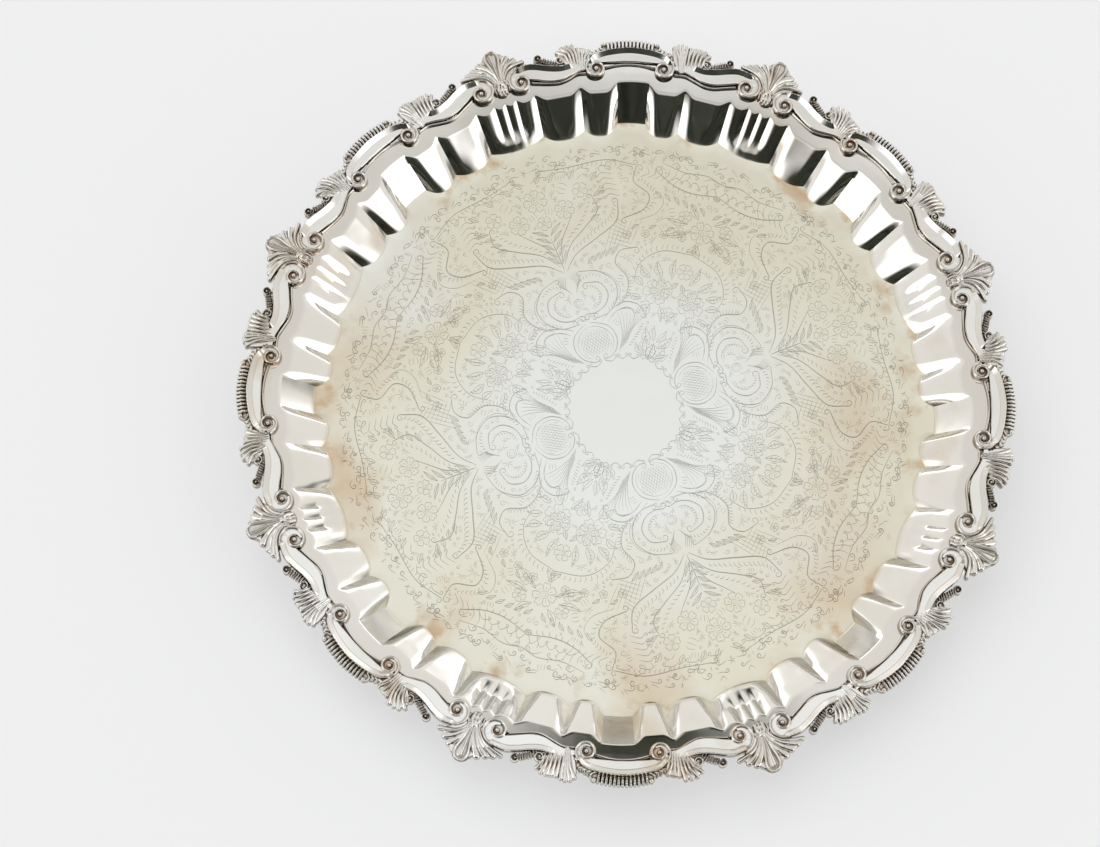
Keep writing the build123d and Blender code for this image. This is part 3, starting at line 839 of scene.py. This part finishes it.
def engrave_frame(lines):
    """S-scroll frames near the wall and the ring of small curls outside them."""
    scatter = np.random.default_rng(7)
    lines.curve([(22, 152), (27.5, 160), (28.6, 172), (24.6, 182), (25, 194)], 1.0, (2.8, -1), (2.4, 1))
    lines.curve([(24.6, 196), (18, 200), (10, 197.5), (3, 200)], 0.8, (2.0, 1), (2.2, 1))
    lines.curve([(29.8, 192), (34, 183), (39, 180), (45, 184)], 0.9, (2.4, -1), (2.6, -1))
    lines.curve([(30.5, 200), (36, 195), (41, 197), (45, 194)], 0.7, (1.8, 1))
    lines.ticks([(24.5, 156), (29, 164), (29.4, 174), (26, 184)], 13, 4.6, -60)
    lines.ticks([(31, 190), (35, 182.5), (40, 180), (45, 183)], 10, 4.2, -65)
    lines.ticks([(22, 197), (15, 199), (8, 197.5)], 13, 3.4, 70)
    lines.curve([(25, 150), (31, 158), (32.4, 170), (29, 180)], 0.5)
    for i in range(5):
        lines.curve([(21.4 - 0.5 * i, 170 + 4.6 * i), (18.6 - 0.4 * i, 172 + 4.4 * i),
                     (17.6 - 0.4 * i, 169 + 4.4 * i)], 0.6, (1.3, -1))
        hook = [(33 + 2.2 * i, 186 - i), (34.6 + 2.2 * i, 189), (36 + 2.2 * i, 187 - i)]
        lines.curve(hook, 0.55, (1.1, -1))
    for i in range(4):
        lines.flower(23.2 + 5.6 * i, 139 + 1.5 * i, 3.4, 5)
        lines.leaf((24.4 + 5.2 * i, 143.5 + i), (26.6 + 5.2 * i, 147.5 + i), 1.2, 0.5, 2)
    for i in range(6):
        lines.curve([(26 + 1.6 * i, 186 - 0.6 * i), (28 + 1.5 * i, 190), (27.4 + 1.7 * i, 195)], 0.55)
        lines.leaf((30 + 2.4 * i, 176 - i), (31.8 + 2.4 * i, 170 - i), 1.3, 0.6, 2)
    for i in range(9):
        low = 0.6 + 5.0 * i
        if not 23 < low < 31:
            lines.curve([(low, 192.4), (low + 1.6, 195.4), (low + 3.4, 194.2)], 0.6, (1.5, -1))
        # Small loose curls outside the frames, in uneven groups
        for _ in range(3 + i % 2):
            along = 2.5 + 5.0 * i + scatter.uniform(-2.3, 2.3)
            radius = scatter.uniform(199, 210)
            hand = 1 if scatter.random() < 0.5 else -1
            lift = scatter.uniform(-1.4, 2.0)
            lines.curve([(along - 0.5 * hand, radius - 1), (along + 0.4 * hand, radius + lift),
                         (along + 1.2 * hand, radius + 0.6)], 0.75, (scatter.uniform(1.3, 2.2), -hand))
        for _ in range(5):
            along = 2.5 + 5.0 * i + scatter.uniform(-2.5, 2.5)
            radius = scatter.uniform(186, 211)
            slant = scatter.uniform(-0.9, 0.9)
            lines.curve([(along, radius), (along + slant, radius + 1.6),
                         (along + 1.6 * slant, radius + 3.4)], 0.55)


def fill_gaps(lines):
    """Sprigs, curls and short cuts wherever the drawing leaves the field bare, largest first."""
    scatter = np.random.default_rng(11)
    inner, outer = 64.0, 209.0
    drawn = np.vstack([path for path, _ in lines.lines])
    for closest, tries in GAP_PASSES:
        for _ in range(tries):
            spot_degrees = scatter.uniform(0.6, 44.4)
            spot_radius = math.sqrt(scatter.uniform(inner**2, outer**2))
            swirl = 70 * math.sin(spot_radius / 9.0 + spot_degrees / 7.0) + scatter.uniform(-25, 25)
            kind = scatter.random()
            hand = 1 if scatter.random() < 0.5 else -1
            spot = polar(spot_degrees, spot_radius)
            clear = np.hypot(*(drawn - spot).T).min()
            if clear < closest:
                continue
            ahead = turned(spot / spot_radius, swirl)
            size = min(clear, 6.0)
            before = len(lines.lines)
            if size > 2.9 and kind < 0.6:
                # Sprig: curved cuts that fan out from one root
                for lean in (-2, -1, 0, 1, 2):
                    ray = turned(ahead, 32 * lean)
                    reach = size * (0.95 - 0.09 * abs(lean))
                    root = spot - 0.5 * size * ahead
                    lines.line([root + 0.3 * size * ray, root + turned(ahead, 22 * lean) * reach * 0.8,
                                root + turned(ahead, 40 * lean) * reach * 1.35], 0.42)
            elif kind < 0.85:
                # Comma with a curled head
                foot = spot - 0.9 * size * ahead
                bend = spot + 0.25 * size * turned(ahead, 90 * hand)
                head = curl_tail(bend, ahead, 0.38 * size, -hand)
                lines.line(np.vstack([[foot, bend], head]), 0.42)
            else:
                for offset in (-0.5, 0.0, 0.5):
                    side = size * offset * turned(ahead, 90)
                    lines.line([spot - 0.6 * size * ahead + side, spot + 1.4 * side,
                                spot + 0.7 * size * ahead + side], 0.42)
            drawn = np.vstack([drawn] + [path for path, _ in lines.lines[before:]])


def make_engraving():
    """Four turns of the motif round the centre of the field, as one piece each."""
    lines = Engraving()
    engrave_centre(lines)
    engrave_scrolls(lines)
    engrave_bouquet(lines)
    engrave_frame(lines)
    fill_gaps(lines)
    first = lines.mesh("engraving")
    pieces = [first]
    for index in range(1, MOTIF_COUNT):
        pieces.append(linked_copy(first, f"engraving_{index + 1}"))
    for index, piece in enumerate(pieces):
        turn = -math.radians(MOTIF_ANGLE + 360 * index / MOTIF_COUNT)
        piece.matrix_world = Matrix.Rotation(turn, 4, "Z")
    return pieces


# ---------------------------------------------------------------- feet


FOOT_REACH = 196.0
FOOT_ANGLES = {
    "foot_front_right": -45,
    "foot_back_right": 45,
    "foot_back_left": 135,
    "foot_front_left": -135,
}
UNDERSIDE = FIELD_Z / MM - SHEET


def swept(path, widths, depths, sides=14):
    """Vertices and faces of an oval bar along a path in the foot's upright plane.

    The path is (reach, height) points; widths run across the foot and depths lie in the plane.
    """
    line = smooth_line(path, 0.5)
    count = len(line)
    forward = np.gradient(line, axis=0)
    forward /= np.hypot(forward[:, 0], forward[:, 1])[:, None]
    normal = np.stack([-forward[:, 1], forward[:, 0]], 1)
    half_width = along_line(widths, count) / 2
    half_depth = along_line(depths, count) / 2
    vertices = []
    for i in range(count):
        for k in range(sides):
            angle = 2 * math.pi * k / sides
            flute = 1 + 0.07 * math.cos(3 * angle)
            reach, height = line[i] + normal[i] * half_depth[i] * math.sin(angle) * flute
            vertices.append((reach, half_width[i] * math.cos(angle) * flute, height))
    caps = [tuple(range(sides))[::-1], tuple((count - 1) * sides + k for k in range(sides))]
    return vertices, ring_faces(count, sides) + caps


def shell_plate(length, width, thickness, ribs):
    """Scalloped, ribbed shell that lies against the underside, closed top and bottom."""
    rings, around = 14, ribs * 8
    vertices = []
    for ring in range(rings + 1):
        share = ring / rings
        for k in range(around):
            angle = 2 * math.pi * k / around
            rib = math.cos(ribs * angle)
            edge = 1 + 0.045 * rib
            reach = FOOT_REACH - 4 + length / 2 * share * edge * math.cos(angle)
            across = width / 2 * share * edge * math.sin(angle)
            drop = thickness * (1 - 0.62 * share**2) + 0.5 * share * rib
            vertices.append((reach, across, UNDERSIDE - drop))
    top = len(vertices)
    vertices += [(reach, across, UNDERSIDE) for reach, across, _ in vertices[-around:]]
    return vertices, ring_faces(rings + 2, around) + [tuple(range(top, top + around))]


def make_foot(label, degrees, material):
    """Scroll foot: ribbed shell, a curled knee with side beads, and a small lobed sole."""

    def bar(path, widths, depths):
        return swept([(FOOT_REACH + reach, height) for reach, height in path], widths, depths)

    top = UNDERSIDE
    parts = [
        shell_plate(43.0, 33.0, 2.4, 11),
        bar([(-15, top - 1.6), (-9, top - 4), (-4, 6.4), (-1, 3.4), (3, 2.0), (6, 3.2)],
            [9.0, 10.6, 9.6, 9.0, 9.4, 6.0], [3.0, 5.6, 6.0, 4.6, 3.2, 2.2]),
        bar([(4, top - 1.4), (1, 9.6), (-1.6, 7.4)], [8.4, 7.4, 5.0], [2.8, 4.2, 4.6]),
        bar([(-6.4, 1.5), (0, 1.5), (6.4, 1.5)], [6.0, 15.4, 6.0], [2.2, 2.9, 2.2]),
    ]
    vertices = []
    faces = []
    for part_vertices, part_faces in parts:
        start = len(vertices)
        vertices += part_vertices
        faces += [tuple(start + index for index in face) for face in part_faces]
    placed = np.array(vertices)
    placed[:, 2] = np.maximum(placed[:, 2], 0.0)
    piece = new_object(f"{label}_cast", placed * MM, faces, 55)
    # Not a hollow: the cavity share rises over the lowest 5 mm of the foot, so the foot is darker towards the
    # floor
    add_float_attribute(piece.data, "cavity", np.clip((5.0 - placed[:, 2]) / 30, 0, 0.2))
    piece.matrix_world = Matrix.Rotation(math.radians(degrees), 4, "Z")
    finish_piece(piece, material, "foot_silver", label)


# ---------------------------------------------------------------- nodes


def fill(tree, socket, value):
    """Link a socket to another one, or set it to a number, a vector or an (r, g, b) colour."""
    if isinstance(value, bpy.types.NodeSocket):
        tree.links.new(value, socket)
    elif socket.type == "RGBA":
        socket.default_value = (*value, 1)
    else:
        socket.default_value = value


def node(tree, kind, inputs, output=0, **settings):
    """Output socket of a new node, with its settings and inputs filled in."""
    made = tree.nodes.new(f"ShaderNode{kind}")
    for name, setting in settings.items():
        setattr(made, name, setting)
    for key, value in inputs.items():
        fill(tree, made.inputs[key], value)
    return made.outputs[output]


def math_node(tree, operation, *values, clamp=False):
    """Output of a math node whose inputs are sockets or plain numbers."""
    return node(tree, "Math", dict(enumerate(values)), operation=operation, use_clamp=clamp)


def mixed(tree, factor, first, second):
    """Colour between two colours, each a socket or (r, g, b)."""
    return node(tree, "Mix", {"Factor": factor, "A": first, "B": second}, "Result", data_type="RGBA")


def ramp(tree, value, stops):
    """Colour by value, between (position, colour) stops in rising order."""
    made = node(tree, "ValToRGB", {"Fac": value}).node
    elements = made.color_ramp.elements
    elements.remove(elements[1])
    elements[0].position = stops[0][0]
    elements[0].color = (*stops[0][1], 1)
    for position, colour in stops[1:]:
        elements.new(position).color = (*colour, 1)
    return made.outputs["Color"]


def between(tree, value, low, high):
    """0 up to low, 1 from high, and straight between."""
    return node(tree, "MapRange", {"Value": value, "From Min": low, "From Max": high})


def clouds(tree, position, scale, low, high, detail=6.0):
    """0 to 1 noise patches."""
    noise = node(tree, "TexNoise", {"Vector": position, "Scale": scale, "Detail": detail}, "Fac")
    return between(tree, noise, low, high)


def attribute(tree, name):
    """Per-vertex value of a mesh."""
    return node(tree, "Attribute", {}, "Fac", attribute_name=name)


# ---------------------------------------------------------------- materials


def node_material(name, inputs):
    """Material whose shader inputs are values, or functions of (tree, position)."""
    material = bpy.data.materials.new(name)
    material.use_nodes = True
    tree = material.node_tree
    position = node(tree, "NewGeometry", {}, "Position")
    for key, value in inputs.items():
        socket = tree.nodes["Principled BSDF"].inputs[key]
        fill(tree, socket, value(tree, position) if callable(value) else value)
    return material


def tarnished(tree, position, base, tarnish, stain):
    """Silver colour with warm tarnish in clouds and stain in small patches."""
    colour = mixed(tree, clouds(tree, position, 9.0, 0.42, 0.66), base, tarnish)
    return mixed(tree, clouds(tree, position, 14.0, 0.60, 0.74), colour, stain)


def uneven(tree, position):
    """Slight unevenness of hand work, which only breaks up the reflections."""
    height = clouds(tree, position, 26.0, 0.2, 0.8, 2.0)
    return node(tree, "Bump", {"Strength": 0.5, "Distance": 0.0004, "Height": height})


def cast_colour(tree, position):
    """Tarnished silver with dark oxide in the recesses."""
    silver = tarnished(tree, position, (0.84, 0.83, 0.81), (0.75, 0.725, 0.67), (0.60, 0.49, 0.37))
    oxide = mixed(tree, clouds(tree, position, 15.0, 0.56, 0.68), (0.17, 0.12, 0.08), (0.38, 0.22, 0.12))
    return mixed(tree, attribute(tree, "cavity"), silver, oxide)


def field_colour(tree, position, shade=1.0, middle_shade=1.0):
    """Clear in the middle, yellowed outward, with brown stains near the wall.

    shade and middle_shade darken it. Distances from the middle are in metres.
    """
    flat = node(tree, "VectorMath", {0: position, 1: (1, 1, 0)}, "Vector", operation="MULTIPLY")
    distance = node(tree, "VectorMath", {0: flat}, "Value", operation="LENGTH")

    def beyond(inner, outer):
        return between(tree, distance, inner, outer)

    def patches(scale, low, high, detail, inner, outer):
        """Clouds that only show past a distance from the middle."""
        share = clouds(tree, position, scale, low, high, detail)
        return math_node(tree, "MULTIPLY", share, beyond(inner, outer))

    def layer(colour, share, r, g, b):
        return mixed(tree, share, colour, (r * shade, g * shade, b * shade))

    middle = (0.825 * middle_shade, 0.835 * middle_shade, 0.81 * middle_shade)
    colour = layer(middle, beyond(0.08, 0.15), 0.79, 0.775, 0.675)
    yellow = patches(6.5, 0.40, 0.62, 6.0, 0.08, 0.15)
    colour = layer(colour, yellow, 0.75, 0.715, 0.58)
    brown = patches(10.0, 0.48, 0.66, 9.0, 0.13, 0.20)
    colour = layer(colour, brown, 0.64, 0.50, 0.34)
    rust = patches(42.0, 0.56, 0.68, 9.0, 0.200, 0.222)
    colour = layer(colour, rust, 0.56, 0.39, 0.23)
    pale = patches(5.0, 0.56, 0.66, 6.0, 0.10, 0.14)
    return layer(colour, pale, 0.80, 0.79, 0.73)


def line_colour(tree, position):
    """The field's colour, darkened for the engraved lines."""
    return field_colour(tree, position, 0.73, 0.84)


def pan_colour(tree, position):
    """The field's colour, which passes into the wall's by the share of field."""
    wall = tarnished(tree, position, (0.89, 0.88, 0.855), (0.83, 0.805, 0.755), (0.78, 0.70, 0.60))
    return mixed(tree, attribute(tree, "field_share"), wall, field_colour(tree, position))


def pan_roughness(tree, position):
    """Polished on the wall and duller on the field."""
    polished, dull = 0.10, 0.25
    share = attribute(tree, "field_share")
    return node(tree, "MapRange", {"Value": share, "To Min": polished, "To Max": dull})


# ---------------------------------------------------------------- scene


def make_camera():
    """Camera above the near side, looking down at the salver."""
    tilt = math.radians(16.671)
    azimuth = math.radians(-0.893)
    roll = math.radians(1.939)
    distance = 1.9175
    target = Vector((-0.0552, -0.0225, 0.0508))
    away = Vector((math.sin(tilt) * math.sin(azimuth), -math.sin(tilt) * math.cos(azimuth), math.cos(tilt)))
    right = Vector((math.cos(roll), math.sin(roll), 0))
    right = (right - away * right.dot(away)).normalized()
    up = away.cross(right)
    camera = bpy.data.objects.new("camera", bpy.data.cameras.new("camera"))
    camera.data.lens = 86.56
    camera.data.sensor_width = 36
    camera.data.sensor_fit = "HORIZONTAL"
    turned_view = Matrix((right, up, away)).transposed().to_4x4()
    camera.matrix_world = Matrix.Translation(target + away * distance) @ turned_view
    bpy.context.scene.collection.objects.link(camera)
    bpy.context.scene.camera = camera


def make_floor():
    """Plain pale floor, a light table whose own glow keeps the shadow faint."""
    size = 6.0
    corners = [(-size, -size, 0), (size, -size, 0), (size, size, 0), (-size, size, 0)]
    floor = new_object("floor", corners, [(0, 1, 2, 3)])
    floor.data.materials.append(node_material("floor", {
        "Base Color": (0.50, 0.505, 0.515),
        "Roughness": 0.9,
        "Emission Color": (0.99, 0.995, 1.0),
        "Emission Strength": 0.39,
    }))


def make_sun():
    """Broad soft lamp from the far left, for the faint shadow on the floor."""
    data = bpy.data.lights.new("lamp", "SUN")
    data.energy = 0.62
    data.angle = math.radians(60)
    lamp = bpy.data.objects.new("lamp", data)
    lamp.rotation_euler = Vector((-0.40, 0.45, 1.0)).to_track_quat("Z", "Y").to_euler()
    # The salver mirrors the studio round it but not the lamp itself
    lamp.visible_glossy = False
    bpy.context.scene.collection.objects.link(lamp)


def window(tree, value, low, high, soft):
    """1 between low and high, falling to 0 over soft on each side."""
    rise = math_node(tree, "MULTIPLY_ADD", value, 1 / soft, 0.5 - low / soft, clamp=True)
    fall = math_node(tree, "MULTIPLY_ADD", value, -1 / soft, 0.5 + high / soft, clamp=True)
    return math_node(tree, "MULTIPLY", rise, fall)


def make_light():
    """Pale studio all round, with softboxes beside the salver, and a dark room low down behind
    the camera and in gaps beside and beyond the table."""
    world = bpy.data.worlds.new("studio")
    bpy.context.scene.world = world
    bpy.context.scene.view_settings.view_transform = "Standard"
    world.use_nodes = True
    tree = world.node_tree
    direction = node(tree, "TexCoord", {}, "Generated")
    x, y, z = node(tree, "SeparateXYZ", {0: direction}).node.outputs
    to_degrees = 180 / math.pi
    elevation = math_node(tree, "MULTIPLY", math_node(tree, "ARCSINE", z), to_degrees)
    nearness = math_node(tree, "MULTIPLY", y, -1.0)
    turn = math_node(tree, "ARCTAN2", math_node(tree, "ABSOLUTE", x), nearness)
    azimuth = math_node(tree, "MULTIPLY", turn, to_degrees)

    def patch(heights, turns, strength=1.0):
        """Patch of (low, high, softness) elevations by (start, stop, softness) azimuths, which
        are measured in degrees from the near side, to the left and the right alike."""
        share = math_node(tree, "MULTIPLY", window(tree, elevation, *heights), window(tree, azimuth, *turns))
        return math_node(tree, "MULTIPLY", share, strength)

    def together(*patches):
        """Strongest of several patches."""
        total = patches[0]
        for share in patches[1:]:
            total = math_node(tree, "MAXIMUM", total, share)
        return total

    room = patch((4, 49, 6), (-60, 40, 10))
    beyond = patch((14, 38, 6), (168, 200, 14))
    gap = patch((2, 11, 3), (82, 104, 6), 0.8)
    haze = patch((54, 68, 6), (-60, 50, 12), 0.22)
    softbox = together(patch((2, 50, 4), (47, 74, 8)), patch((-14, 10, 4), (112, 158, 8)))
    dome = ramp(tree, math_node(tree, "MULTIPLY", elevation, 1 / 90), [
        (0.0, (0.80, 0.785, 0.74)), (0.40, (0.72, 0.70, 0.675)), (0.66, (0.60, 0.585, 0.555)),
        (0.82, (0.92, 0.93, 0.935)), (0.93, (0.86, 0.87, 0.87)),
    ])
    # The dark room is uneven, with a few paler things in it
    clutter = node(tree, "TexNoise", {"Vector": direction, "Scale": 12.0, "Detail": 7.0}, "Fac")
    things = ramp(tree, clutter, [
        (0.38, (0.010, 0.011, 0.009)), (0.62, (0.045, 0.050, 0.037)), (0.80, (0.26, 0.25, 0.15)),
    ])
    lit = mixed(tree, softbox, dome, (1.5, 1.5, 1.5))
    background = tree.nodes["Background"]
    fill(tree, background.inputs["Color"], mixed(tree, together(room, beyond, gap, haze), lit, things))
    background.inputs["Strength"].default_value = 1.15


def finish_piece(piece, material, slot, *nodes):
    """Material, body and replaced nodes of one piece. The slot argument is not used."""
    if not piece.data.materials:
        piece.data.materials.append(material)
    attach(piece, "root")
    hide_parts(*nodes)


def place_castings(label, relief, material):
    """Eight copies of one casting round the rim, which share one mesh."""
    first = relief.mesh(f"{label}_relief")
    for index in range(REPEATS):
        piece = linked_copy(first, f"{label}_relief_{index + 1}") if index else first
        turn = -(index * REPEAT_LENGTH + BORDER_LAG) / REFERENCE_RADIUS
        piece.matrix_world = Matrix.Rotation(turn, 4, "Z")
        finish_piece(piece, material, "cast_silver", f"{label}_{index + 1}")


make_camera()
make_floor()
make_light()
make_sun()

metal = {"Metallic": 1.0}
pan_silver = node_material(
    "pan_silver", {**metal, "Roughness": pan_roughness, "Base Color": pan_colour, "Normal": uneven}
)
line_silver = node_material("line_silver", {**metal, "Roughness": 0.34, "Base Color": line_colour})
cast_silver = node_material(
    "cast_silver", {**metal, "Roughness": 0.16, "Base Color": cast_colour, "Normal": uneven}
)

finish_piece(make_pan(), pan_silver, "sheet_silver", "pan")
for piece in make_engraving():
    finish_piece(piece, line_silver, "sheet_silver", "pan")
place_castings("c_scroll", c_scroll_relief(), cast_silver)
place_castings("corner_shell", corner_shell_relief(), cast_silver)
for side_name in ("left", "right"):
    place_castings(f"s_scroll_{side_name}", s_scroll_relief(side_name), cast_silver)
    place_castings(f"fan_shell_{side_name}", fan_relief(side_name), cast_silver)
for foot_name, foot_degrees in FOOT_ANGLES.items():
    make_foot(foot_name, foot_degrees, cast_silver)
